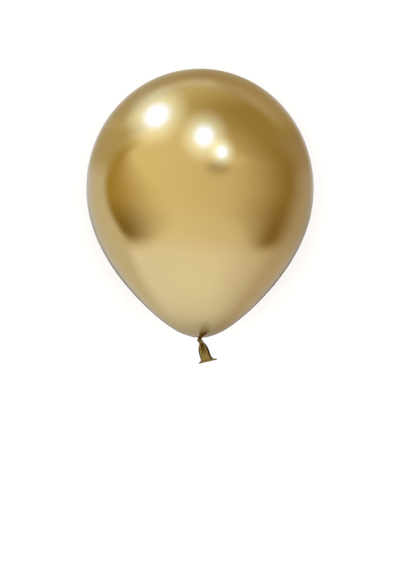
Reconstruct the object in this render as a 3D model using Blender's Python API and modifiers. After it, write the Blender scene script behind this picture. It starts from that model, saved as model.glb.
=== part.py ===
"""A chrome gold latex balloon, blown up, knotted and lying on its side.

Metres, +Z up. The balloon's long axis lies along Y, with the crown at +Y and the knot at -Y.
The origin is on the floor, in the middle of the small flat that the balloon rests on.
"""

import math

import bmesh
import bpy
import numpy as np
from mathutils import Vector

# The bulb, from its widest circle to the crown and to the knot
BULB_RADIUS = 0.150
CROWN_LENGTH = 0.157
NECK_LENGTH = 0.199
NECK_TAPER = 0.38
NECK_TAPER_POWER = 2.2
NECK_POINT = 0.55
NECK_POINT_POWER = 80
RESTING_FLAT_DEPTH = 0.002

# The neck, drawn out to a strand and tied in an overhand knot
STRAND_RADIUS = 0.0013
KNOT_TO_BULB = 0.0003
KNOT_OFFSET = 0.0009
STRAND_IN_BULB = 0.006
STRAND_IN_TAIL = 0.0012

# The knot's route, in strand radii, and how far the tight knot is turned over to one side
KNOT_CLEARANCE = 2.12
KNOT_LEAD = 6.5
BULB_LEAD_ACROSS = -1.4
TAIL_LEAD_ACROSS = 3.2
KNOT_MIDDLE_FRONT = 1.5
KNOT_EXIT = 0.45
KNOT_ROUNDS = 360
KNOT_TURN = math.radians(20.0)

# The flat tail below the knot, which leans over, with a hollow mouth and a rolled bead
TAIL_LENGTH = 0.0270
TAIL_LEAN = math.radians(13.0)
TAIL_HALF_WIDTH = 0.0072
TAIL_HALF_THICKNESS = 0.0013
TAIL_WALL = 0.0005
TAIL_FOLD_DEPTH = 0.0013
MOUTH_HALF_WIDTH = 0.0115
MOUTH_SHIFT = 0.0026
MOUTH_DEPTH = 0.012
BEAD_RADIUS = 0.0014

# The tail's form: its start in strand radii, and how fast it spreads, flares, shifts and folds
TAIL_START_WIDTH = 1.6
TAIL_START_THICKNESS = 1.25
TAIL_SPREAD = 5
MOUTH_FLARE = 16
MOUTH_SHIFT_POWER = 4
TAIL_FOLDS = 0.85
TAIL_FOLD_SHIFT = 0.35
TAIL_EDGE_ROUNDNESS = 0.75

# How finely the shapes are faceted
BULB_STEPS = 64
CROWN_RINGS = 18
NECK_RINGS = 22
KNOT_POINTS = 61
TAIL_SIDES = 28
TAIL_RINGS = 14
MOUTH_RINGS = 6
BEAD_RINGS = 9

AXIS_HEIGHT = BULB_RADIUS - RESTING_FLAT_DEPTH
BEAD_MIDDLE = 1.0 - BEAD_RADIUS / TAIL_LENGTH
BEAD_START = BEAD_MIDDLE - BEAD_RADIUS / TAIL_LENGTH
TAIL_AXIS = Vector((math.sin(TAIL_LEAN), -math.cos(TAIL_LEAN), 0.0))
TAIL_ACROSS = Vector((math.cos(TAIL_LEAN), math.sin(TAIL_LEAN), 0.0))
TAIL_FACE = Vector((0.0, 0.0, 1.0))


def new_collection(name):
    collection = bpy.data.collections.new(name)
    bpy.context.scene.collection.children.link(collection)
    return collection


def latex_material():
    """Metallised latex, stretched to a mirror."""
    latex = bpy.data.materials.new("chrome_gold_latex")
    latex.use_nodes = True
    shader = latex.node_tree.nodes["Principled BSDF"]
    shader.inputs["Base Color"].default_value = (0.64, 0.46, 0.17, 1.0)
    shader.inputs["Metallic"].default_value = 1.0
    shader.inputs["Roughness"].default_value = 0.2
    return latex


def add_union(target, tool):
    join = target.modifiers.new("join " + tool.name, "BOOLEAN")
    join.operation = "UNION"
    join.solver = "EXACT"
    join.object = tool


def mark_as_tool(tool):
    tool.hide_render = True
    tool.display_type = "WIRE"


def bulb_profile():
    """The outline of the bulb as (radius, height), from the crown to the blunt point of the neck."""
    outline = []
    for ring in range(CROWN_RINGS):
        angle = 0.5 * math.pi * ring / CROWN_RINGS
        outline.append((BULB_RADIUS * math.sin(angle), CROWN_LENGTH * math.cos(angle)))
    for ring in range(NECK_RINGS + 1):
        angle = 0.5 * math.pi * ring / NECK_RINGS
        along = math.sin(angle)
        taper = (1.0 - NECK_TAPER * along**NECK_TAPER_POWER) * (1.0 - NECK_POINT * along**NECK_POINT_POWER)
        outline.append((BULB_RADIUS * math.cos(angle) * taper, -NECK_LENGTH * along))
    outline[0] = (0.0, CROWN_LENGTH)
    outline[-1] = (0.0, -NECK_LENGTH)
    return outline


def make_bulb(collection):
    mesh = bpy.data.meshes.new("balloon")
    points = [(radius, 0.0, height) for radius, height in bulb_profile()]
    mesh.from_pydata(points, [(i, i + 1) for i in range(len(points) - 1)], [])
    bulb = bpy.data.objects.new("balloon", mesh)
    bulb.location = (0.0, 0.0, AXIS_HEIGHT)
    bulb.rotation_euler = (-math.pi / 2, 0.0, 0.0)
    collection.objects.link(bulb)
    turn = bulb.modifiers.new("turn", "SCREW")
    turn.axis = "Z"
    turn.steps = BULB_STEPS
    turn.render_steps = BULB_STEPS
    turn.use_merge_vertices = True
    turn.merge_threshold = 0.00005
    turn.use_smooth_shade = True
    return bulb


def evenly_spaced(route, count):
    """The same route with its points an equal way apart."""
    steps = np.linalg.norm(np.diff(route, axis=0), axis=1)
    along = np.concatenate(([0.0], np.cumsum(steps)))
    wanted = np.linspace(0.0, along[-1], count)
    return np.column_stack([np.interp(wanted, along, values) for values in route.T])


def pull_tight(route, clearance, rounds, pushes=5):
    """Draws a knotted route tight while its strands stay a clearance apart, all in strand radii."""
    count = len(route)
    order = np.arange(count)
    for _ in range(rounds):
        spacing = np.linalg.norm(route[1] - route[0])
        strands_apart = np.abs(order[:, None] - order[None, :]) * spacing > 1.25 * clearance
        route[1:-1] += 0.4 * ((route[:-2] + route[2:]) / 2 - route[1:-1])
        for _ in range(pushes):
            between = route[:, None] - route[None, :]
            distance = np.linalg.norm(between, axis=2) + 1e-9
            close = (distance < clearance) & strands_apart
            push = (between / distance[..., None]) * ((clearance - distance) / 2 * close)[..., None]
            shared = push.sum(axis=1) / np.maximum(close.sum(axis=1), 1)[:, None]
            route[1:-1] += 0.9 * shared[1:-1]
        route = evenly_spaced(route, count)
    return route


def knot_route():
    """An overhand knot in strand radii: first value along the neck, then across, then to the front.

    It is pulled tight and then turned as a whole, so that its front turn runs steeply down.
    """
    turn = np.linspace(-2.0, 2.0, KNOT_POINTS)
    along = 0.5 * (turn**5 - 10 * turn)
    across = 1.6 * (turn**3 - 3 * turn)
    front = 1.2 * (turn**4 - 4 * turn**2 + 2) + KNOT_MIDDLE_FRONT
    bulb_end = (-KNOT_LEAD, BULB_LEAD_ACROSS, 0.0)
    tail_end = (KNOT_LEAD, TAIL_LEAD_ACROSS, 0.0)
    loose = np.vstack((bulb_end, np.column_stack((along, across, front)), tail_end))
    tight = pull_tight(evenly_spaced(loose, KNOT_POINTS), KNOT_CLEARANCE, KNOT_ROUNDS)
    cosine, sine = math.cos(KNOT_TURN), math.sin(KNOT_TURN)
    along, across, front = tight.T
    return np.column_stack((along * cosine + across * sine, across * cosine - along * sine, front))


def make_tube(name, points, radius, collection):
    """A closed mesh tube along the points."""
    curve = bpy.data.curves.new(name, "CURVE")
    curve.dimensions = "3D"
    curve.bevel_depth = radius
    curve.bevel_resolution = 2
    curve.use_fill_caps = True
    spline = curve.splines.new("POLY")
    spline.points.add(len(points) - 1)
    for point, place in zip(spline.points, points):
        point.co = (*place, 1.0)
    guide = bpy.data.objects.new(name + "_guide", curve)
    collection.objects.link(guide)
    bpy.context.view_layer.update()
    evaluated = guide.evaluated_get(bpy.context.evaluated_depsgraph_get())
    mesh = bpy.data.meshes.new_from_object(evaluated)
    shape = bmesh.new()
    shape.from_mesh(mesh)
    bmesh.ops.remove_doubles(shape, verts=shape.verts, dist=0.00001)
    bmesh.ops.recalc_face_normals(shape, faces=shape.faces)
    shape.to_mesh(mesh)
    shape.free()
    tube = bpy.data.objects.new(name, mesh)
    tube.matrix_world = guide.matrix_world
    collection.objects.link(tube)
    bpy.data.objects.remove(guide)
    return tube


def make_knot(route, centre, collection):
    """The strand from inside the bulb, through the knot, to just inside the tail."""
    points = [Vector((0.0, -NECK_LENGTH + STRAND_IN_BULB, AXIS_HEIGHT))]
    for along, across, front in route:
        place = centre + STRAND_RADIUS * Vector((across, -along, front))
        if place.y < points[0].y:
            points.append(place)
    return make_tube("knot", points, STRAND_RADIUS, collection)


def tail_half_width(share):
    """Half the tail's width, a share of the way from the knot to the mouth."""
    start = TAIL_START_WIDTH * STRAND_RADIUS
    spread = (TAIL_HALF_WIDTH - start) * (1.0 - (1.0 - share) ** TAIL_SPREAD)
    flare = (MOUTH_HALF_WIDTH - TAIL_HALF_WIDTH) * min(share / BEAD_MIDDLE, 1.0) ** MOUTH_FLARE
    return start + spread + flare


def tail_half_thickness(share):
    start = TAIL_START_THICKNESS * STRAND_RADIUS
    return start + (TAIL_HALF_THICKNESS - start) * share


def tail_ring(start, share, grow):
    """One closed ring of the tail's skin, a share of the way down, grown outwards from its wall."""
    width = tail_half_width(share) + grow
    thickness = tail_half_thickness(share) + grow
    fold = TAIL_FOLD_DEPTH * math.sin(math.pi * share**0.6) * (1.0 - share) ** 0.5
    centre = start + TAIL_AXIS * TAIL_LENGTH * share + TAIL_ACROSS * MOUTH_SHIFT * share**MOUTH_SHIFT_POWER
    ring = []
    for side in range(TAIL_SIDES):
        angle = 2.0 * math.pi * side / TAIL_SIDES
        across = math.cos(angle)
        bulge = math.copysign(abs(math.sin(angle)) ** TAIL_EDGE_ROUNDNESS, math.sin(angle))
        front = thickness * bulge - fold * math.cos(2.0 * math.pi * TAIL_FOLDS * across + TAIL_FOLD_SHIFT)
        ring.append(centre + TAIL_ACROSS * width * across + TAIL_FACE * front)
    return ring


def make_tail(start, collection):
    """The tail as one skin: down its outside, round the bead, and up into its hollow mouth."""
    rings = [tail_ring(start, BEAD_START * ring / TAIL_RINGS, 0.0) for ring in range(TAIL_RINGS)]
    for ring in range(BEAD_RINGS + 1):
        angle = math.pi * ring / BEAD_RINGS
        outwards = BEAD_RADIUS * math.sin(angle) - TAIL_WALL * ring / BEAD_RINGS
        along = BEAD_MIDDLE - BEAD_RADIUS / TAIL_LENGTH * math.cos(angle)
        rings.append(tail_ring(start, along, outwards))
    for ring in range(1, MOUTH_RINGS + 1):
        along = BEAD_MIDDLE + (BEAD_RADIUS - MOUTH_DEPTH * ring / MOUTH_RINGS) / TAIL_LENGTH
        rings.append(tail_ring(start, along, -TAIL_WALL))

    shape = bmesh.new()
    loops = [[shape.verts.new(place) for place in ring] for ring in rings]
    for one, other in zip(loops, loops[1:]):
        for side in range(TAIL_SIDES):
            after = (side + 1) % TAIL_SIDES
            shape.faces.new((one[side], one[after], other[after], other[side]))
    shape.faces.new(loops[0])
    shape.faces.new(loops[-1])
    bmesh.ops.recalc_face_normals(shape, faces=shape.faces)
    mesh = bpy.data.meshes.new("tail")
    shape.to_mesh(mesh)
    shape.free()
    tail = bpy.data.objects.new("tail", mesh)
    collection.objects.link(tail)
    return tail


def make_floor_cutter(collection):
    """A block under the floor, which leaves the balloon a small flat to rest on."""
    shape = bmesh.new()
    bmesh.ops.create_cube(shape, size=1.0)
    size = 2.0 * BULB_RADIUS
    bmesh.ops.scale(shape, vec=(size, size, size), verts=shape.verts)
    bmesh.ops.translate(shape, vec=(0.0, 0.0, -0.5 * size), verts=shape.verts)
    mesh = bpy.data.meshes.new("floor_cutter")
    shape.to_mesh(mesh)
    shape.free()
    cutter = bpy.data.objects.new("floor_cutter", mesh)
    collection.objects.link(cutter)
    return cutter


for old in list(bpy.data.objects):
    bpy.data.objects.remove(old)

balloon_parts = new_collection("chrome_balloon")
tools = new_collection("tools")

route = knot_route()
turns = route[KNOT_POINTS // 4:-KNOT_POINTS // 4]
knot_reach = STRAND_RADIUS * (1.0 - turns[:, 0].min())
knot_centre = Vector((KNOT_OFFSET, -(NECK_LENGTH + KNOT_TO_BULB + knot_reach), AXIS_HEIGHT))
leaving = route[-KNOT_POINTS // 3:]
exit_across, exit_front = (np.interp(KNOT_EXIT, leaving[:, 0], leaving[:, axis]) for axis in (1, 2))
tail_start = knot_centre + STRAND_RADIUS * Vector((exit_across, -KNOT_EXIT, exit_front))
strand_end = KNOT_EXIT + STRAND_IN_TAIL / STRAND_RADIUS
to_tail = route[:-np.count_nonzero(leaving[:, 0] > strand_end)]

balloon = make_bulb(balloon_parts)
balloon.data.materials.append(latex_material())
knot = make_knot(to_tail, knot_centre, tools)
tail = make_tail(tail_start, tools)
floor_cutter = make_floor_cutter(tools)

add_union(balloon, knot)
add_union(balloon, tail)
flat = balloon.modifiers.new("resting flat", "BOOLEAN")
flat.operation = "DIFFERENCE"
flat.solver = "EXACT"
flat.object = floor_cutter
for tool in (knot, tail, floor_cutter):
    mark_as_tool(tool)
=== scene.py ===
import math

import bmesh
import bpy
import numpy as np
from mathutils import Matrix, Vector


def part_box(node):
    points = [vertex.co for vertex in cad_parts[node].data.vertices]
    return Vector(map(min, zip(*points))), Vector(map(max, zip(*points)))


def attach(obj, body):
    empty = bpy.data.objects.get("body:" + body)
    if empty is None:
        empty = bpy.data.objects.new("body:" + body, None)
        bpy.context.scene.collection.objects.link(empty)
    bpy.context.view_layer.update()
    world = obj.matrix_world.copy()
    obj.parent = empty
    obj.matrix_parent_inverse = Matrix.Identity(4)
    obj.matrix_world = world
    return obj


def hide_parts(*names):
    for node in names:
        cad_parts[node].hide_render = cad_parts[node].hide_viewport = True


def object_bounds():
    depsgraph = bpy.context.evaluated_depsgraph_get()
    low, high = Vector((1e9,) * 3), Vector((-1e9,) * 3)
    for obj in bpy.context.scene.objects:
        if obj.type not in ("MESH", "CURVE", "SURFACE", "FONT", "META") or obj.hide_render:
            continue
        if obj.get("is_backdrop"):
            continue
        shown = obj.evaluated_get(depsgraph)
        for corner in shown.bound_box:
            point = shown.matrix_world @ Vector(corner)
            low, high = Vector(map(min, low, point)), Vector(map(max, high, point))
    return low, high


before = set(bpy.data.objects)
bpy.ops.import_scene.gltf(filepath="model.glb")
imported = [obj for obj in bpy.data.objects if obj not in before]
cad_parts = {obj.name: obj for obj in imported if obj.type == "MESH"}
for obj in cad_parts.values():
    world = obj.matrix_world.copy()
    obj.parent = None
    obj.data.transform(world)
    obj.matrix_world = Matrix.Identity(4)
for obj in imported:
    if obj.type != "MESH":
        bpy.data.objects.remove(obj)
cad_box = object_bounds()

# The bulb: one skin of latex, dipped on a former and blown up until it is tight and mirror-like.
# It is turned about its long axis, which lies level along Y, and pressed a little flat where it rests.
low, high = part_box("balloon")
BULB_RADIUS = (high.x - low.x) / 2
CROWN_LENGTH = high.y
AXIS_HEIGHT = high.z - BULB_RADIUS
SIDES = 128
CROWN_RINGS = 72
FULLY_STRETCHED = 1.0

skin = bmesh.new()
side_of = skin.verts.layers.int.new("side")
stretch_of = skin.verts.layers.float.new("stretch")
shade_of = skin.verts.layers.float.new("shade")


def ease(value):
    """Rises smoothly from 0 to 1 as the value does."""
    value = min(max(value, 0.0), 1.0)
    return value * value * (3.0 - 2.0 * value)


def unshaded(turn):
    """No darkening, as on the bulb, the neck and the inside of the mouth."""
    return 0.0


def extend_skin(rim, place, stretch, shade=unshaded):
    """Grows the open rim of the skin by one ring, whose points are placed by their turn round it."""
    grown = bmesh.ops.extrude_edge_only(skin, edges=rim)["geom"]
    for point in grown:
        if isinstance(point, bmesh.types.BMVert):
            turn = 2.0 * math.pi * point[side_of] / SIDES
            point.co = place(turn)
            point[stretch_of] = stretch
            point[shade_of] = shade(turn)
    return [edge for edge in grown if isinstance(edge, bmesh.types.BMEdge) and edge.is_boundary]


def bulb_ring(radius, along):
    """Places a ring of the bulb, held up by the floor."""
    def place(turn):
        height = AXIS_HEIGHT + radius * math.sin(turn)
        return Vector((radius * math.cos(turn), along, max(height, 0.0)))
    return place


# The crown's tip starts as a disc of one ring round a middle point
bmesh.ops.create_circle(skin, segments=SIDES, radius=1.0, cap_ends=True, cap_tris=True)
first_angle = 0.5 * math.pi / CROWN_RINGS
for point in skin.verts:
    angle = 0.0 if point.co.length < 0.5 else first_angle
    turn = math.atan2(point.co.y, point.co.x)
    point[side_of] = round(turn * SIDES / (2.0 * math.pi)) % SIDES
    point[stretch_of] = FULLY_STRETCHED
    place = bulb_ring(BULB_RADIUS * math.sin(angle), CROWN_LENGTH * math.cos(angle))
    point.co = place(2.0 * math.pi * point[side_of] / SIDES)
rim = [edge for edge in skin.edges if edge.is_boundary]
for ring in range(2, CROWN_RINGS + 1):
    angle = 0.5 * math.pi * ring / CROWN_RINGS
    place = bulb_ring(BULB_RADIUS * math.sin(angle), CROWN_LENGTH * math.cos(angle))
    rim = extend_skin(rim, place, FULLY_STRETCHED)

# The neck: where the skin thickens again and is gathered in small pleats into the strand that is tied.
# The bulb comes down to it bluntly, so the gather is a sharp little waist against the knot.
NECK_LENGTH = 0.199
NECK_TAPER = 0.38
NECK_TAPER_POWER = 2.2
NECK_POINT = 0.55
NECK_POINT_POWER = 80
NECK_RINGS = 100
SLACK_FROM = 0.80
STRETCH_AT_NECK = 0.45
WAIST_RADIUS = 0.0048
WAIST_HEIGHT = 0.0024
WAIST_RINGS = 12
STRAND_RADIUS = 0.0013
STRAND_SKIN_RADIUS = 0.00145
PLEATS = 9
PLEAT_UNEVENNESS = 0.9
PLEAT_DEPTH = 0.10
PLEAT_REACH = 0.014
FAINT_PLEATS = 0.35
WIDE_PLEATS = 5
WIDE_PLEAT_DEPTH = 0.45
WIDE_PLEAT_SHIFT = 1.3


def pleats(turn):
    """The share that the gathered skin stands out of its round section, uneven round the strand."""
    fine = math.cos(PLEATS * turn + PLEAT_UNEVENNESS * math.sin(2.0 * turn))
    return fine + WIDE_PLEAT_DEPTH * math.cos(WIDE_PLEATS * turn + WIDE_PLEAT_SHIFT)


def gathered_ring(radius, along, across, depth):
    """Places a ring of the neck, with its pleats to a share of its radius."""
    def place(turn):
        pleated = radius * (1.0 + depth * pleats(turn))
        height = AXIS_HEIGHT + pleated * math.sin(turn)
        return Vector((across + pleated * math.cos(turn), along, max(height, 0.0)))
    return place


waist_angle = math.acos(WAIST_RADIUS / (BULB_RADIUS * (1.0 - NECK_TAPER) * (1.0 - NECK_POINT)))
for ring in range(1, NECK_RINGS + 1):
    angle = waist_angle * ring / NECK_RINGS
    share = math.sin(angle)
    taper = (1.0 - NECK_TAPER * share**NECK_TAPER_POWER) * (1.0 - NECK_POINT * share**NECK_POINT_POWER)
    radius = BULB_RADIUS * math.cos(angle) * taper
    depth = FAINT_PLEATS * PLEAT_DEPTH * math.exp(-((radius / PLEAT_REACH) ** 2))
    slack = ease((share - SLACK_FROM) / (1.0 - SLACK_FROM))
    stretch = FULLY_STRETCHED + (STRETCH_AT_NECK - FULLY_STRETCHED) * slack
    rim = extend_skin(rim, gathered_ring(radius, -NECK_LENGTH * share, 0.0, depth), stretch)
neck_end = -NECK_LENGTH * math.sin(waist_angle)

# The knot: the neck of the same skin, drawn out to a strand and tied in an overhand knot.
# Its route is found by pulling a loose overhand knot tight, in strand radii, as the solid's is,
# and turning it over to one side.
KNOT_TO_BULB = 0.0003
KNOT_OFFSET = 0.0009
LOOSE_LENGTH = 0.5
LOOSE_WIDTH = 1.6
LOOSE_DEPTH = 1.2
KNOT_CLEARANCE = 2.12
NEIGHBOURS_WITHIN = 1.25
PULL = 0.4
GIVE = 0.9
KNOT_LEAD = 6.5
BULB_LEAD_ACROSS = -1.4
TAIL_LEAD_ACROSS = 3.2
KNOT_MIDDLE_FRONT = 1.5
KNOT_EXIT = 0.45
KNOT_ROUNDS = 360
KNOT_TURN = math.radians(20.0)
KNOT_POINTS = 61
STRAND_RINGS = 170
STRAND_SMOOTHING = 12
STRETCH_IN_KNOT = 0.12
SWELL = 0.28
SWELL_MIDDLE = 0.62
SWELL_REACH = 0.20
KNOT_SHADE = 0.55
PLEAT_SHADE = 0.35


def evenly_spaced(route, count):
    """The same route with its points an equal way apart."""
    steps = np.linalg.norm(np.diff(route, axis=0), axis=1)
    along = np.concatenate(([0.0], np.cumsum(steps)))
    wanted = np.linspace(0.0, along[-1], count)
    return np.column_stack([np.interp(wanted, along, values) for values in route.T])


def pull_tight(route, clearance, rounds, pushes=5):
    """Draws a knotted route tight while its strands stay a clearance apart, all in strand radii."""
    count = len(route)
    order = np.arange(count)
    for _ in range(rounds):
        spacing = np.linalg.norm(route[1] - route[0])
        strands_apart = np.abs(order[:, None] - order[None, :]) * spacing > NEIGHBOURS_WITHIN * clearance
        route[1:-1] += PULL * ((route[:-2] + route[2:]) / 2 - route[1:-1])
        for _ in range(pushes):
            between = route[:, None] - route[None, :]
            distance = np.linalg.norm(between, axis=2) + 1e-9
            close = (distance < clearance) & strands_apart
            push = (between / distance[..., None]) * ((clearance - distance) / 2 * close)[..., None]
            shared = push.sum(axis=1) / np.maximum(close.sum(axis=1), 1)[:, None]
            route[1:-1] += GIVE * shared[1:-1]
        route = evenly_spaced(route, count)
    return route


def smoothed(route, passes):
    """The same route with its small bends taken out."""
    for _ in range(passes):
        route[1:-1] = (route[:-2] + 2.0 * route[1:-1] + route[2:]) / 4
    return route


turns = np.linspace(-2.0, 2.0, KNOT_POINTS)
loose = np.column_stack((
    LOOSE_LENGTH * (turns**5 - 10 * turns),
    LOOSE_WIDTH * (turns**3 - 3 * turns),
    LOOSE_DEPTH * (turns**4 - 4 * turns**2 + 2) + KNOT_MIDDLE_FRONT,
))
bulb_end = (-KNOT_LEAD, BULB_LEAD_ACROSS, 0.0)
tail_end = (KNOT_LEAD, TAIL_LEAD_ACROSS, 0.0)
loose = evenly_spaced(np.vstack((bulb_end, loose, tail_end)), KNOT_POINTS)
along, across, front = pull_tight(loose, KNOT_CLEARANCE, KNOT_ROUNDS).T
cosine, sine = math.cos(KNOT_TURN), math.sin(KNOT_TURN)
route = np.column_stack((along * cosine + across * sine, across * cosine - along * sine, front))
middle = route[KNOT_POINTS // 4:-KNOT_POINTS // 4]
knot_reach = STRAND_RADIUS * (1.0 - middle[:, 0].min())
knot_centre = np.array((KNOT_OFFSET, -(NECK_LENGTH + KNOT_TO_BULB + knot_reach), AXIS_HEIGHT))
places = knot_centre + STRAND_RADIUS * np.column_stack((route[:, 1], -route[:, 0], route[:, 2]))

# The tail's own line carries on from the strand, so that the skin runs out of the knot without a break
TAIL_LEAN = math.radians(13.0)
TAIL_AXIS = Vector((math.sin(TAIL_LEAN), -math.cos(TAIL_LEAN), 0.0))
TAIL_ACROSS = Vector((math.cos(TAIL_LEAN), math.sin(TAIL_LEAN), 0.0))
leaving = route[-KNOT_POINTS // 3:]
exit_across, exit_front = (np.interp(KNOT_EXIT, leaving[:, 0], leaving[:, axis]) for axis in (1, 2))
tail_start = Vector(knot_centre) + STRAND_RADIUS * Vector((exit_across, -KNOT_EXIT, exit_front))

in_knot = places[:-np.count_nonzero(leaving[:, 0] > KNOT_EXIT)]
strand = in_knot[in_knot[:, 1] < neck_end - WAIST_HEIGHT]
strand = smoothed(evenly_spaced(np.vstack((strand, tail_start)), STRAND_RINGS), STRAND_SMOOTHING)
strand = [Vector(point) for point in strand]
directions = [(after - before).normalized() for before, after in zip(strand, strand[1:])]
directions.append(TAIL_AXIS)

# The waist, where the bulb's end closes in on the strand
waist_across = strand[0].x
for ring in range(1, WAIST_RINGS + 1):
    angle = 0.5 * math.pi * ring / WAIST_RINGS
    radius = STRAND_SKIN_RADIUS + (WAIST_RADIUS - STRAND_SKIN_RADIUS) * (1.0 - math.sin(angle))
    along = neck_end - WAIST_HEIGHT * (1.0 - math.cos(angle))
    drift = ease(ring / WAIST_RINGS)
    depth = PLEAT_DEPTH * (FAINT_PLEATS + (1.0 - FAINT_PLEATS) * drift)
    stretch = STRETCH_AT_NECK + (STRETCH_IN_KNOT - STRETCH_AT_NECK) * drift
    rim = extend_skin(rim, gathered_ring(radius, along, waist_across * drift, depth), stretch)

# Each ring of the strand is square to its route and turns no more than it must.
# What is left of the turn at the tail is shared out along the way.
frames = []
across = Vector((1.0, 0.0, 0.0))
heading = Vector((0.0, -1.0, 0.0))
for direction in directions:
    across = heading.rotation_difference(direction) @ across
    heading = direction
    frames.append((across.copy(), across.cross(heading) * -1.0))
end_across = frames[-1][0]
left_over = math.atan2(TAIL_ACROSS.dot(frames[-1][1]), TAIL_ACROSS.dot(end_across))


def strand_ring(number):
    """Places a ring of the strand, which is thickest a little past its middle."""
    centre = strand[number]
    across, face = frames[number]
    share = number / (STRAND_RINGS - 1)
    twist = left_over * share
    swell = 1.0 + SWELL * math.exp(-(((share - SWELL_MIDDLE) / SWELL_REACH) ** 2))

    def place(turn):
        radius = STRAND_SKIN_RADIUS * swell * (1.0 + PLEAT_DEPTH * pleats(turn))
        return centre + radius * (math.cos(turn + twist) * across + math.sin(turn + twist) * face)
    return place


def pleat_shade(turn):
    """Dark between the pleats, where the layers of skin shade each other."""
    return KNOT_SHADE - PLEAT_SHADE * pleats(turn)


for number in range(1, STRAND_RINGS):
    rim = extend_skin(rim, strand_ring(number), STRETCH_IN_KNOT, pleat_shade)

# The tail: the rest of the neck below the knot, which isn't blown up. It is a flat tube that opens
# out of the knot in folds, leans over to one side and ends in the rolled bead round its mouth.
TAIL_LENGTH = 0.0270
TAIL_HALF_WIDTH = 0.0072
TAIL_HALF_THICKNESS = 0.0013
TAIL_WALL = 0.0005
TAIL_START_WIDTH = 1.6 * STRAND_RADIUS
TAIL_START_THICKNESS = 1.25 * STRAND_RADIUS
TAIL_SPREAD = 5
TAIL_EDGE_ROUNDNESS = 0.75
TAIL_OPENING = 0.10
TAIL_FACE = Vector((0.0, 0.0, 1.0))
TAIL_RINGS = 96
CROWDING_AT_KNOT = 1.25
MOUTH_HALF_WIDTH = 0.0115
MOUTH_SHIFT = 0.0026
MOUTH_FLARE = 16
MOUTH_SHIFT_POWER = 4
BEAD_RADIUS = 0.00137
BEAD_MIDDLE = 1.0 - BEAD_RADIUS / TAIL_LENGTH
BEAD_START = BEAD_MIDDLE - BEAD_RADIUS / TAIL_LENGTH
FOLD_DEPTH = 0.0013
FOLDS = 0.85
FOLD_SHIFT = 0.35
FOLD_NEARER_KNOT = 0.6
HOLLOW_DEPTH = 0.0009
HOLLOW_WIDTH = 0.26
HOLLOW_OPENS = 0.12
HOLLOW_ENDS = 0.15
HOLLOW_FADE = 0.5
FINE_FOLD_DEPTH = 0.00011
FINE_FOLDS = 5.0
FINE_FOLDS_OPEN = 0.1
FINE_FOLD_FADE = 1.5
FINE_FOLD_UNEVENNESS = 1.2
CREASE_DEPTH = 0.00013
CREASE_SPACING = 0.0019
CREASE_REACH = 0.0042
CREASES_FROM = -0.7
STRETCH_IN_TAIL = 0.0


def tail_half_width(share):
    """Half the tail's width, a share of the way from the knot to the mouth."""
    spread = (TAIL_HALF_WIDTH - TAIL_START_WIDTH) * (1.0 - (1.0 - share) ** TAIL_SPREAD)
    flare = (MOUTH_HALF_WIDTH - TAIL_HALF_WIDTH) * min(share / BEAD_MIDDLE, 1.0) ** MOUTH_FLARE
    return TAIL_START_WIDTH + spread + flare


def tail_fold(across, share):
    """How far the flat tube stands to the front: ridges at both sides of a hollow from the knot."""
    fold = FOLD_DEPTH * math.sin(math.pi * share**FOLD_NEARER_KNOT) * math.sqrt(max(1.0 - share, 0.0))
    wave = -fold * math.cos(2.0 * math.pi * FOLDS * across + FOLD_SHIFT)
    hollow = HOLLOW_DEPTH * ease(share / HOLLOW_OPENS) * (1.0 - ease((share - HOLLOW_ENDS) / HOLLOW_FADE))
    wave -= hollow * math.exp(-((across / HOLLOW_WIDTH) ** 2))
    fine = FINE_FOLD_DEPTH * ease(share / FINE_FOLDS_OPEN) * (1.0 - share) ** FINE_FOLD_FADE
    uneven = FINE_FOLD_UNEVENNESS * math.sin(4.0 * across)
    wave += fine * math.cos(2.0 * math.pi * FINE_FOLDS * across + uneven)
    return wave


def tail_ring(share, grow):
    """Places a ring of the tail, a share of the way down it, grown outwards from its wall."""
    drift = MOUTH_SHIFT * share**MOUTH_SHIFT_POWER
    centre = tail_start + TAIL_AXIS * TAIL_LENGTH * share + TAIL_ACROSS * drift
    opened = ease(share / TAIL_OPENING)
    width = tail_half_width(share) + grow
    thickness = TAIL_START_THICKNESS + (TAIL_HALF_THICKNESS - TAIL_START_THICKNESS) * share + grow
    to_mouth = (1.0 - share) * TAIL_LENGTH
    crease = CREASE_DEPTH * math.cos(2.0 * math.pi * to_mouth / CREASE_SPACING)
    crease *= math.exp(-abs(to_mouth) / CREASE_REACH) * opened

    def place(turn):
        across = math.cos(turn)
        bulge = math.copysign(abs(math.sin(turn)) ** TAIL_EDGE_ROUNDNESS, math.sin(turn))
        skin_height = (thickness + crease * ease(across - CREASES_FROM)) * bulge
        flat = TAIL_ACROSS * width * across
        flat += TAIL_FACE * (skin_height + tail_fold(across, share))
        radius = STRAND_SKIN_RADIUS * (1.0 + PLEAT_DEPTH * pleats(turn - left_over)) + grow
        round_section = radius * (math.cos(turn) * TAIL_ACROSS + math.sin(turn) * TAIL_FACE)
        return centre + round_section.lerp(flat, opened)
    return place


# Where the tail is in its own shade: at its folded edges, down the hollow and at the ends of the bead
EDGE_SHADE = 0.95
RIGHT_SHADE_FROM = 0.52
RIGHT_SHADE_FADE = 0.24
LEFT_EDGE_SHADE = 0.80
LEFT_SHADE_FROM = 0.72
LEFT_SHADE_FADE = 0.20
SHADOW_OFFSET = 0.15
SHADOW_LEAN = 0.35
SHADOW_WIDTH = 0.18
SHADOW_SPREAD = 0.20
DEEP_SHADOW_ENDS = 0.12
DEEP_SHADOW_FADE = 0.20
LOW_SHADOW = 0.4
SHADOW_ENDS = 0.45
SHADOW_FADE = 0.35
KNOT_SHADE_FADE = 0.12
BEAD_SHADE_FROM = 0.72
BEAD_SHADE_FADE = 0.16


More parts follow.
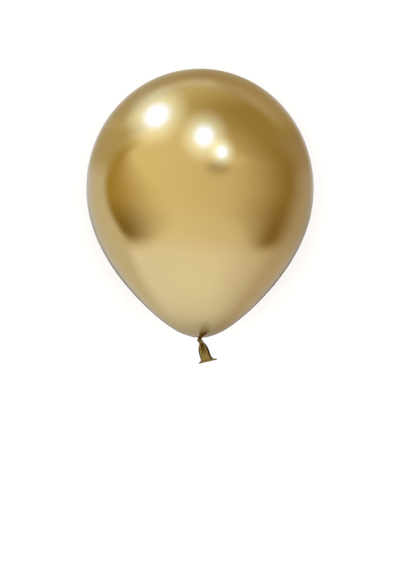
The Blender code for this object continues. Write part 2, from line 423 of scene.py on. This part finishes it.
def tail_shade(share):
    """Darkens the tail along its folded edges and in the hollow that runs out of the knot."""
    def shade(turn):
        across = math.cos(turn)
        right_edge = EDGE_SHADE * ease((across - RIGHT_SHADE_FROM) / RIGHT_SHADE_FADE)
        left_edge = LEFT_EDGE_SHADE * ease((-across - LEFT_SHADE_FROM) / LEFT_SHADE_FADE)
        from_hollow = across + SHADOW_OFFSET - SHADOW_LEAN * share
        from_hollow /= SHADOW_WIDTH + SHADOW_SPREAD * share
        near_knot = 1.0 - ease((share - DEEP_SHADOW_ENDS) / DEEP_SHADOW_FADE)
        hollow = LOW_SHADOW + (1.0 - LOW_SHADOW) * near_knot
        hollow *= math.exp(-(from_hollow**2)) * (1.0 - ease((share - SHADOW_ENDS) / SHADOW_FADE))
        out_of_knot = KNOT_SHADE * (1.0 - ease(share / KNOT_SHADE_FADE))
        return min(right_edge + left_edge + hollow + out_of_knot, 1.0)
    return shade


def bead_shade(turn):
    """Darkens both ends of the bead."""
    return EDGE_SHADE * ease((abs(math.cos(turn)) - BEAD_SHADE_FROM) / BEAD_SHADE_FADE)


for ring in range(1, TAIL_RINGS):
    share = BEAD_START * (ring / (TAIL_RINGS - 1)) ** CROWDING_AT_KNOT
    stretch = STRETCH_IN_KNOT + (STRETCH_IN_TAIL - STRETCH_IN_KNOT) * ease(3.0 * share)
    rim = extend_skin(rim, tail_ring(share, 0.0), stretch, tail_shade(share))

# The mouth: the end of the tail, where the skin is rolled on itself into a thick bead when it is made.
# Behind it the skin runs back inside the flat tube and closes it.
BEAD_RINGS = 18
MOUTH_DEPTH = 0.012
MOUTH_RINGS = 24
for ring in range(1, BEAD_RINGS + 1):
    angle = math.pi * ring / BEAD_RINGS
    outwards = BEAD_RADIUS * math.sin(angle) - TAIL_WALL * ring / BEAD_RINGS
    share = BEAD_MIDDLE - BEAD_RADIUS / TAIL_LENGTH * math.cos(angle)
    rim = extend_skin(rim, tail_ring(share, outwards), STRETCH_IN_TAIL, bead_shade)
for ring in range(1, MOUTH_RINGS + 1):
    share = BEAD_MIDDLE + (BEAD_RADIUS - MOUTH_DEPTH * ring / MOUTH_RINGS) / TAIL_LENGTH
    rim = extend_skin(rim, tail_ring(share, -TAIL_WALL), STRETCH_IN_TAIL)
bmesh.ops.holes_fill(skin, edges=rim, sides=SIDES)
bmesh.ops.recalc_face_normals(skin, faces=skin.faces)

balloon_mesh = bpy.data.meshes.new("balloon_skin")
skin.to_mesh(balloon_mesh)
skin.free()
balloon_mesh.shade_smooth()
balloon = bpy.data.objects.new("balloon_skin", balloon_mesh)
bpy.context.scene.collection.objects.link(balloon)

# Chrome latex: metal flake in the rubber under a glossy skin. Where it is stretched it is thin, bright
# and mirror-like, and in the knot and the tail, which aren't blown up, it is a darker, duller bronze.
STRETCHED_GOLD = (0.70, 0.48, 0.15, 1.0)
SLACK_BRONZE = (0.31, 0.205, 0.055, 1.0)
SHADED_BRONZE = (0.065, 0.030, 0.004, 1.0)
EDGE_GOLD = (0.75, 0.66, 0.48, 1.0)
STRETCHED_ROUGHNESS = 0.12
SLACK_ROUGHNESS = 0.30
SLACK_COAT = 0.25
COAT_ROUGHNESS = 0.06
COAT_IOR = 1.5
CLOUD_SCALE = 14.0
CLOUD_DETAIL = 3.0
CLOUD_TONE = 0.06
CLOUD_ROUGHNESS = 0.03
FLAKE_SCALE = 2600.0
FLAKE_DETAIL = 1.0
FLAKE_TONE = 0.05
FLAKE_HEIGHT = 0.02
WRINKLE_SCALE = 620.0
WRINKLE_DETAIL = 4.0
WRINKLE_TONE = 0.5
WRINKLE_ROUGHNESS = 0.12
BUMP_STRENGTH = 0.5
BUMP_DISTANCE = 0.0002


class Signal:
    """A value on its way through a shader, which Python's arithmetic works on."""

    def __init__(self, tree, socket=None):
        self.tree = tree
        self.socket = socket

    def node(self, kind, settings=None, values=None, output=0):
        """Adds a node, with its settings and then its sockets' values or links."""
        added = self.tree.nodes.new(kind)
        for name, setting in (settings or {}).items():
            setattr(added, name, setting)
        for name, value in (values or {}).items():
            if isinstance(value, Signal):
                self.tree.links.new(value.socket, added.inputs[name])
            else:
                added.inputs[name].default_value = value
        return Signal(self.tree, added.outputs[output])

    def maths(self, operation, first, second=0.0):
        return self.node("ShaderNodeMath", {"operation": operation}, {0: first, 1: second})

    def __add__(self, other):
        return self.maths("ADD", self, other)

    def __sub__(self, other):
        return self.maths("SUBTRACT", self, other)

    def __rsub__(self, other):
        return self.maths("SUBTRACT", other, self)

    def __mul__(self, other):
        return self.maths("MULTIPLY", self, other)

    def __truediv__(self, other):
        return self.maths("DIVIDE", self, other)

    __radd__ = __add__
    __rmul__ = __mul__


def vector(operation, first, second):
    return first.node("ShaderNodeVectorMath", {"operation": operation}, {0: first, 1: second})


def blend(share, first, second):
    """One colour turning into another as the share rises."""
    return share.node("ShaderNodeMix", {"data_type": "RGBA"}, {0: share, 6: first, 7: second}, 2)


latex = bpy.data.materials.new("chrome_gold_latex")
latex.use_nodes = True
latex_nodes = latex.node_tree
latex_shader = latex_nodes.nodes["Principled BSDF"]
latex_start = Signal(latex_nodes)
skin_place = latex_start.node("ShaderNodeTexCoord", output="Object")
stretched = latex_start.node("ShaderNodeAttribute", {"attribute_name": "stretch"}, output="Fac")
in_shade = latex_start.node("ShaderNodeAttribute", {"attribute_name": "shade"}, output="Fac")
slackness = 1.0 - stretched


def unevenness(scale, detail):
    """A cloudy pattern in the skin, which goes as far below 0 as above it."""
    values = {"Vector": skin_place, "Scale": scale, "Detail": detail}
    return latex_start.node("ShaderNodeTexNoise", values=values) - 0.5


cloud = unevenness(CLOUD_SCALE, CLOUD_DETAIL)
flake = unevenness(FLAKE_SCALE, FLAKE_DETAIL)
wrinkle = unevenness(WRINKLE_SCALE, WRINKLE_DETAIL) * slackness

tone = cloud * CLOUD_TONE + flake * FLAKE_TONE + wrinkle * WRINKLE_TONE + 1.0
tint = latex_start.node("ShaderNodeCombineXYZ", values={0: tone, 1: tone, 2: tone})
# Painted shade: where the shade attribute is set, between the knot's pleats, along the tail's folded edges
# and hollow and at the bead's ends, the bronze is darkened towards near black.
bronze = blend(in_shade, SLACK_BRONZE, SHADED_BRONZE)
gold = vector("MULTIPLY", blend(stretched, bronze, STRETCHED_GOLD), tint)
latex_nodes.links.new(gold.socket, latex_shader.inputs["Base Color"])
roughness = stretched * (STRETCHED_ROUGHNESS - SLACK_ROUGHNESS) + SLACK_ROUGHNESS
roughness = roughness + cloud * CLOUD_ROUGHNESS + wrinkle * WRINKLE_ROUGHNESS
latex_nodes.links.new(roughness.socket, latex_shader.inputs["Roughness"])
relief = {"Height": wrinkle + flake * FLAKE_HEIGHT, "Strength": BUMP_STRENGTH, "Distance": BUMP_DISTANCE}
bump = latex_start.node("ShaderNodeBump", values=relief)
latex_nodes.links.new(bump.socket, latex_shader.inputs["Normal"])
latex_shader.inputs["Metallic"].default_value = 1.0
latex_shader.inputs["Specular Tint"].default_value = EDGE_GOLD
# The coat is taken off where the shade is painted, so those places lose their gloss as well.
coat = (stretched * (1.0 - SLACK_COAT) + SLACK_COAT) * (1.0 - in_shade)
latex_nodes.links.new(coat.socket, latex_shader.inputs["Coat Weight"])
latex_shader.inputs["Coat Roughness"].default_value = COAT_ROUGHNESS
latex_shader.inputs["Coat IOR"].default_value = COAT_IOR

balloon_mesh.materials.append(latex)
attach(balloon, "root")
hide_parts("balloon")

# The floor: one plain, pale, dull sheet under the whole view. It lies a hair below the balloon,
# and the chrome shows the light tent in its place.
FLOOR_SIZE = 12.0
FLOOR_DROP = 0.0003
FLOOR_COLOUR = (0.9, 0.9, 0.9, 1.0)
FLOOR_ROUGHNESS = 0.9
floor_shape = bmesh.new()
bmesh.ops.create_grid(floor_shape, x_segments=1, y_segments=1, size=FLOOR_SIZE / 2)
bmesh.ops.translate(floor_shape, vec=(0.0, 0.0, -FLOOR_DROP), verts=floor_shape.verts)
floor_mesh = bpy.data.meshes.new("floor")
floor_shape.to_mesh(floor_mesh)
floor_shape.free()
floor = bpy.data.objects.new("floor", floor_mesh)
bpy.context.scene.collection.objects.link(floor)
floor_paint = bpy.data.materials.new("floor_paint")
floor_paint.use_nodes = True
floor_shader = floor_paint.node_tree.nodes["Principled BSDF"]
floor_shader.inputs["Base Color"].default_value = FLOOR_COLOUR
floor_shader.inputs["Roughness"].default_value = FLOOR_ROUGHNESS
floor_mesh.materials.append(floor_paint)
floor.visible_glossy = False
floor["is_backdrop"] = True

# The studio light: plain white from all round, so that the floor is lit evenly
# and only a soft shadow lies under the balloon.
WHITE = (1.0, 1.0, 1.0, 1.0)
STUDIO_BRIGHTNESS = 1.5
studio = bpy.data.worlds.new("studio")
studio.use_nodes = True
studio_light = studio.node_tree.nodes["Background"]
studio_light.inputs["Color"].default_value = WHITE
studio_light.inputs["Strength"].default_value = STUDIO_BRIGHTNESS
bpy.context.scene.world = studio

# The camera: a long lens that looks straight down on the lying balloon.
# So the crown shows at the top, and the knot and the tail hang down.
LENS = 180.0
SENSOR = 36.0
VIEW_CENTRE = (0.0, -0.1284)
VIEW_HEIGHT = 0.7530
camera_data = bpy.data.cameras.new("camera")
camera_data.lens = LENS
camera_data.sensor_width = SENSOR
camera = bpy.data.objects.new("camera", camera_data)
bpy.context.scene.collection.objects.link(camera)
camera.location = (*VIEW_CENTRE, AXIS_HEIGHT + VIEW_HEIGHT * LENS / SENSOR)
bpy.context.scene.camera = camera
bpy.context.scene.view_settings.view_transform = "Standard"

# The light tent: soft cloth walls all round the balloon, with cards, a panel, tables and lamps in them.
# Only the chrome shows it, as it mirrors it: the camera, the floor and the shadows don't.
TENT_RADIUS = 4.0
TENT_SUBDIVISIONS = 4
BULB_MIDDLE = Vector((0.0, 0.0, AXIS_HEIGHT))
DARK = (0.0, 0.0, 0.0, 1.0)

tent_shape = bmesh.new()
bmesh.ops.create_icosphere(tent_shape, subdivisions=TENT_SUBDIVISIONS, radius=TENT_RADIUS)
tent_mesh = bpy.data.meshes.new("tent")
tent_shape.to_mesh(tent_mesh)
tent_shape.free()
tent = bpy.data.objects.new("tent", tent_mesh)
bpy.context.scene.collection.objects.link(tent)
tent_cloth = bpy.data.materials.new("tent_cloth")
tent_cloth.use_nodes = True
tent_nodes = tent_cloth.node_tree
tent_shader = tent_nodes.nodes["Principled BSDF"]
tent_start = Signal(tent_nodes)


def level(*rgb):
    """The light of one wall or lamp."""
    return (*rgb, 1.0)


def unit(way):
    """The same direction with a length of 1."""
    return way.node("ShaderNodeVectorMath", {"operation": "NORMALIZE"}, {0: way})


def rise(value, start, end):
    """Goes smoothly from 0 to 1 as the value goes from start to end."""
    ends = {0: value, 1: start, 2: end}
    return value.node("ShaderNodeMapRange", {"interpolation_type": "SMOOTHSTEP"}, ends)


def past(value, mark):
    """How far a value is above a mark, or 0 below it."""
    return tent_start.maths("MAXIMUM", value - mark, 0.0)


def short_of(value, mark):
    """How far a value is below a mark, or 0 above it."""
    return tent_start.maths("MAXIMUM", mark - value, 0.0)


# Each wall is laid out by where the camera sees it in a ball as big as the bulb: crosswise and lengthwise
# are shares of the ball's radius, sideways is the slope there towards +X in degrees, and outwards is the
# share from the middle to the edge. The ball's skin faces halfway between the tent and the camera where it
# mirrors one to the other. That is found from the ball's middle first, and then from the spot itself.
tent_place = vector("SUBTRACT", tent_start.node("ShaderNodeTexCoord", output="Object"), tuple(BULB_MIDDLE))
camera_place = tuple(camera.location - BULB_MIDDLE)
ball_size = (BULB_RADIUS, BULB_RADIUS, BULB_RADIUS)
spot = vector("MULTIPLY", unit(vector("ADD", unit(tent_place), (0.0, 0.0, 1.0))), ball_size)
to_tent = unit(vector("SUBTRACT", tent_place, spot))
from_camera = unit(vector("SUBTRACT", spot, camera_place))
spot = vector("MULTIPLY", unit(vector("SUBTRACT", to_tent, from_camera)), ball_size)
ray = vector("SUBTRACT", spot, camera_place)
ray_across, ray_along, ray_down = (
    tent_start.node("ShaderNodeSeparateXYZ", values={0: ray}, output=axis) for axis in range(3)
)
camera_across, camera_along, camera_height = (place / BULB_RADIUS for place in camera_place)
crosswise = ray_across / ray_down * -camera_height + camera_across
lengthwise = ray_along / ray_down * -camera_height + camera_along
outwards_squared = tent_start.maths("MINIMUM", crosswise * crosswise + lengthwise * lengthwise, 1.0)
outwards = tent_start.maths("SQRT", outwards_squared)
upwards = tent_start.maths("SQRT", 1.0 - outwards_squared)
sideways = tent_start.maths("DEGREES", tent_start.maths("ARCTAN2", crosswise, upwards))

# The plain walls are warm white, and dimmer to the right and behind the crown
LEFT_WALL = level(0.95, 0.935, 0.83)
RIGHT_WALL = level(0.78, 0.748, 0.675)
WALL_TURN = (-32.0, 28.0)
CROWN_LEFT_WALL = level(0.81, 0.80, 0.65)
CROWN_RIGHT_WALL = level(0.50, 0.445, 0.30)
CROWN_TURN = (-45.0, 58.0)
CROWN_START = (0.36, 0.62)
wall = blend(rise(sideways, *WALL_TURN), LEFT_WALL, RIGHT_WALL)
crown_wall = blend(rise(sideways, *CROWN_TURN), CROWN_LEFT_WALL, CROWN_RIGHT_WALL)
light = blend(rise(lengthwise, *CROWN_START), wall, crown_wall)

# A large cool white panel at the knot's end, whose upper edge slants and fades in two steps
PANEL_LEFT = level(0.965, 1.07, 1.42)
PANEL_RIGHT = level(0.52, 0.50, 0.48)
PANEL_TURN = (0.0, 70.0)
PANEL_LOW_END = (-0.62, -0.90)
PANEL_LOW_LOSS = 0.26
PANEL_SLANT = 0.0008
PANEL_FAINT_EDGE = (-0.02, -0.36)
PANEL_FAINT_SHARE = 0.33
PANEL_EDGE = (-0.33, -0.54)
panel = blend(rise(sideways, *PANEL_TURN), PANEL_LEFT, PANEL_RIGHT)
panel = blend(rise(lengthwise, *PANEL_LOW_END) * PANEL_LOW_LOSS, panel, DARK)
slanted = sideways * PANEL_SLANT + lengthwise
faintly_shown = rise(slanted, *PANEL_FAINT_EDGE) * PANEL_FAINT_SHARE
shown = rise(slanted, *PANEL_EDGE) * (1.0 - PANEL_FAINT_SHARE) + faintly_shown
light = blend(shown, light, panel)

# A dark card at the left, whose reflection is a crescent that ends in a dark tip. Its outer edge is bent
# more above the middle, and its inner edge fades out most slowly a little below the middle.
LEFT_CARD_HIGH = level(0.47, 0.365, 0.12)
LEFT_CARD_LOW = level(0.27, 0.20, 0.065)
LEFT_CARD_TURN = (0.0, -0.32)
LEFT_EDGE = -56.8
LEFT_EDGE_MIDDLE = 0.05
LEFT_EDGE_BEND = 59.0
LEFT_EDGE_HIGH_BEND = 45.0
LEFT_EDGE_STRAIGHT_BELOW = -0.38
LEFT_EDGE_FADE = 4.0
LEFT_FADE = 43.5
LEFT_FADE_MIDDLE = -0.2
LEFT_FADE_BEND = 60.0
LEFT_FADE_HIGH_LOSS = 60.0
LEFT_FADE_LOW = -0.25
LEFT_FADE_LOW_LOSS = 90.0
LEFT_FADE_LEAST = 14.0
LEFT_CARD_HIGH_END = (0.46, 0.26)
LEFT_CARD_LOW_END = (-0.49, -0.34)
high_part = past(lengthwise, 0.0)
from_middle = tent_start.maths("MAXIMUM", lengthwise, LEFT_EDGE_STRAIGHT_BELOW) - LEFT_EDGE_MIDDLE
left_edge = from_middle * from_middle * LEFT_EDGE_BEND + high_part * high_part * LEFT_EDGE_HIGH_BEND
left_edge = left_edge + LEFT_EDGE
from_widest = lengthwise - LEFT_FADE_MIDDLE
left_fade = LEFT_FADE - from_widest * from_widest * LEFT_FADE_BEND - high_part * LEFT_FADE_HIGH_LOSS
left_fade = left_fade - short_of(lengthwise, LEFT_FADE_LOW) * LEFT_FADE_LOW_LOSS
left_fade = tent_start.maths("MAXIMUM", left_fade, LEFT_FADE_LEAST)
left_card = blend(rise(lengthwise, *LEFT_CARD_TURN), LEFT_CARD_HIGH, LEFT_CARD_LOW)
shown = rise(sideways, left_fade + left_edge, left_edge + LEFT_EDGE_FADE)
shown = shown * rise(lengthwise, *LEFT_CARD_HIGH_END) * rise(lengthwise, *LEFT_CARD_LOW_END)
light = blend(shown, light, left_card)

# A dark card at the right, which fades in slowly and reaches up towards the crown.
# It is paler towards the crown and darkest at its lower end.
RIGHT_CARD_HIGH = level(0.42, 0.345, 0.165)
RIGHT_CARD_MIDDLE = level(0.33, 0.235, 0.075)
RIGHT_CARD_LOW = level(0.26, 0.175, 0.045)
RIGHT_CARD_HIGH_TURN = (0.10, 0.50)
RIGHT_CARD_LOW_TURN = (0.0, -0.36)
RIGHT_EDGE = 50.0
RIGHT_EDGE_HIGH = 0.2
RIGHT_EDGE_HIGH_LOSS = 60.0
RIGHT_EDGE_LOW = -0.02
RIGHT_EDGE_LOW_LOSS = 20.0
RIGHT_EDGE_FADE = 6.0
RIGHT_FADE = 38.0
RIGHT_FADE_HIGH = 0.15
RIGHT_FADE_HIGH_GAIN = 22.0
RIGHT_FADE_LOW = -0.2
RIGHT_FADE_LOW_LOSS = 80.0
RIGHT_EDGE_TUCK = 20.0
RIGHT_CARD_HIGH_END = (0.84, 0.62)
RIGHT_CARD_LOW_END = (-0.51, -0.40)
right_edge = RIGHT_EDGE - past(lengthwise, RIGHT_EDGE_HIGH) * RIGHT_EDGE_HIGH_LOSS
right_edge = right_edge - short_of(lengthwise, RIGHT_EDGE_LOW) * RIGHT_EDGE_LOW_LOSS
narrowing = short_of(lengthwise, RIGHT_FADE_LOW)
right_fade = right_edge - RIGHT_FADE - past(lengthwise, RIGHT_FADE_HIGH) * RIGHT_FADE_HIGH_GAIN
right_fade = right_fade + narrowing * RIGHT_FADE_LOW_LOSS
right_card = blend(rise(lengthwise, *RIGHT_CARD_HIGH_TURN), RIGHT_CARD_MIDDLE, RIGHT_CARD_HIGH)
right_card = blend(rise(lengthwise, *RIGHT_CARD_LOW_TURN), right_card, RIGHT_CARD_LOW)
shown = rise(sideways, right_fade, right_edge - narrowing * RIGHT_EDGE_TUCK + RIGHT_EDGE_FADE)
shown = shown * rise(lengthwise, *RIGHT_CARD_HIGH_END) * rise(lengthwise, *RIGHT_CARD_LOW_END)
light = blend(shown, light, right_card)

# The table under the tent, beyond the left card
LEFT_TABLE_LOW = level(0.72, 0.76, 0.82)
LEFT_TABLE_HIGH = level(0.57, 0.535, 0.40)
LEFT_TABLE_TURN = (0.05, 0.28)
LEFT_SOFTNESS = 3.5
LEFT_SOFTNESS_HIGH_GAIN = 6.0
LEFT_SOFTNESS_LOW = -0.36
LEFT_SOFTNESS_LOW_GAIN = 20.0
LEFT_TABLE_END = (0.60, 0.44)
upper = rise(lengthwise, *LEFT_TABLE_TURN)
left_table = blend(upper, LEFT_TABLE_LOW, LEFT_TABLE_HIGH)
softness = upper * LEFT_SOFTNESS_HIGH_GAIN + LEFT_SOFTNESS
softness = short_of(lengthwise, LEFT_SOFTNESS_LOW) * LEFT_SOFTNESS_LOW_GAIN + softness
shown = rise(sideways, left_edge + softness, left_edge - softness) * rise(lengthwise, *LEFT_TABLE_END)
light = blend(shown, light, left_table)

# The table beyond the right card, and behind the crown
RIGHT_TABLE_LOW = level(0.60, 0.58, 0.60)
RIGHT_TABLE_MIDDLE = level(0.52, 0.495, 0.465)
RIGHT_TABLE_HIGH = level(0.43, 0.37, 0.27)
RIGHT_TABLE_HIGH_TURN = (0.02, 0.25)
RIGHT_TABLE_LOW_TURN = (-0.35, -0.60)
RIGHT_TABLE_OVERLAP = 2.0
RIGHT_TABLE_FADE = 19.0
RIGHT_TABLE_END = (0.50, 0.34)
FAR_TABLE_LEFT = level(0.56, 0.52, 0.38)
FAR_TABLE_RIGHT = level(0.50, 0.43, 0.29)
FAR_TABLE_TURN = (-60.0, 10.0)
FAR_TABLE_EDGE = (0.80, 0.90)
FAR_TABLE_START = (0.40, 0.62)
right_table = blend(rise(lengthwise, *RIGHT_TABLE_HIGH_TURN), RIGHT_TABLE_MIDDLE, RIGHT_TABLE_HIGH)
right_table = blend(rise(lengthwise, *RIGHT_TABLE_LOW_TURN), right_table, RIGHT_TABLE_LOW)
shown = rise(sideways, right_edge - RIGHT_TABLE_OVERLAP, right_edge + RIGHT_TABLE_FADE)
light = blend(shown * rise(lengthwise, *RIGHT_TABLE_END), light, right_table)
far_table = blend(rise(sideways, *FAR_TABLE_TURN), FAR_TABLE_LEFT, FAR_TABLE_RIGHT)
shown = rise(outwards, *FAR_TABLE_EDGE) * rise(lengthwise, *FAR_TABLE_START)
light = blend(shown, light, far_table)

# A thin pale strip where the wall behind the crown meets the table
STRIP_LEFT = level(0.74, 0.79, 0.84)
STRIP_RIGHT = level(0.56, 0.52, 0.45)
STRIP_TURN = (4.0, 30.0)
STRIP_INNER_EDGE = (0.80, 0.868)
STRIP_OUTER_EDGE = (0.94, 0.872)
STRIP_START = (0.42, 0.70)
STRIP_LEFT_END = (-60.0, -34.0)
strip = blend(rise(sideways, *STRIP_TURN), STRIP_LEFT, STRIP_RIGHT)
shown = rise(outwards, *STRIP_INNER_EDGE) * rise(outwards, *STRIP_OUTER_EDGE)
shown = shown * rise(lengthwise, *STRIP_START) * rise(sideways, *STRIP_LEFT_END)
light = blend(shown, light, strip)

# The floor below all, which shows only at the very edge, and is dark at the knot's end
FLOOR_HIGH = level(0.62, 0.59, 0.54)
FLOOR_LOW = level(0.30, 0.27, 0.20)
FLOOR_TURN = (0.0, -0.4)
FLOOR_EDGE = (0.965, 1.0)
FLOOR_FAR_END = (0.90, 0.70)
FLOOR_SHARE = 0.7
DARK_FLOOR = level(0.10, 0.08, 0.05)
DARK_FLOOR_EDGE = (0.985, 1.0)
DARK_FLOOR_START = (-0.45, -0.70)
floor_light = blend(rise(lengthwise, *FLOOR_TURN), FLOOR_HIGH, FLOOR_LOW)
shown = rise(outwards, *FLOOR_EDGE) * rise(lengthwise, *FLOOR_FAR_END) * FLOOR_SHARE
light = blend(shown, light, floor_light)
shown = rise(outwards, *DARK_FLOOR_EDGE) * rise(lengthwise, *DARK_FLOOR_START)
light = blend(shown, light, DARK_FLOOR)


def distance_from(seen_at, reach, turn=0.0):
    """How far from a round or oval place, whose edge is at 1, across and along the bulb."""
    where = tent_start.node("ShaderNodeCombineXYZ", values={0: crosswise, 1: lengthwise})
    there = tent_start.node(
        "ShaderNodeMapping",
        {"vector_type": "TEXTURE"},
        {"Vector": where, "Location": (*seen_at, 0.0), "Rotation": (0.0, 0.0, turn), "Scale": (*reach, 1.0)},
    )
    return tent_start.node("ShaderNodeVectorMath", {"operation": "LENGTH"}, {0: there}, "Value")


# Three faint places: a dim one beside the camera, a dim one low behind the knot, which is a painted
# reflection of the knot that darkens the bulb just above the neck, and a pale one beside the lamps.
# Each has its middle, its reach, how it fades, its share and its light.
FAINT_PLACES = (
    ((0.158, 0.165), (0.125, 0.072), (1.25, 0.2), 0.34, DARK),
    # A painted reflection of the knot: a dim olive place low behind it, which the bulb shows just above the
    # neck
    ((0.086, -0.87), (0.10, 0.07), (1.4, 0.3), 0.7, level(0.28, 0.24, 0.09)),
    ((0.345, 0.226), (0.095, 0.065), (1.3, 0.2), 0.35, level(1.0, 1.0, 0.95)),
)
for seen_at, reach, fade, most, place_light in FAINT_PLACES:
    light = blend(rise(distance_from(seen_at, reach), *fade) * most, light, place_light)

# Three soft lamps, each with a white core in a wide halo. Each has its middle, its reach and its turn.
CORE_LIGHT = level(0.40, 0.80, 4.3)
CORE_FADE = (0.58, 0.15)
HALO_LIGHT = level(0.44, 0.75, 1.5)
HALO_FADE = (1.18, 0.28)
LAMPS = (
    ((-0.386, 0.592), (0.296, 0.228), math.radians(30.0)),
    ((0.0380, 0.4235), (0.216, 0.216), 0.0),
    ((0.1957, 0.290), (0.122, 0.122), 0.0),
)
for seen_at, reach, turn in LAMPS:
    away = distance_from(seen_at, reach, turn)
    halo = blend(rise(away, *HALO_FADE), DARK, HALO_LIGHT)
    core = blend(rise(away, *CORE_FADE), DARK, CORE_LIGHT)
    light = vector("ADD", light, vector("ADD", halo, core))

tent_nodes.links.new(light.socket, tent_shader.inputs["Emission Color"])
tent_shader.inputs["Emission Strength"].default_value = 1.0
tent_shader.inputs["Base Color"].default_value = DARK
tent_shader.inputs["Specular IOR Level"].default_value = 0.0
tent_shader.inputs["Roughness"].default_value = 1.0
tent_mesh.materials.append(tent_cloth)
tent.visible_camera = False
tent.visible_diffuse = False
tent.visible_shadow = False
tent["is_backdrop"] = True

visual_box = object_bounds()
boxes = {"cad": cad_box, "visual": visual_box}
{name: [list(corner) for corner in box] for name, box in boxes.items()}
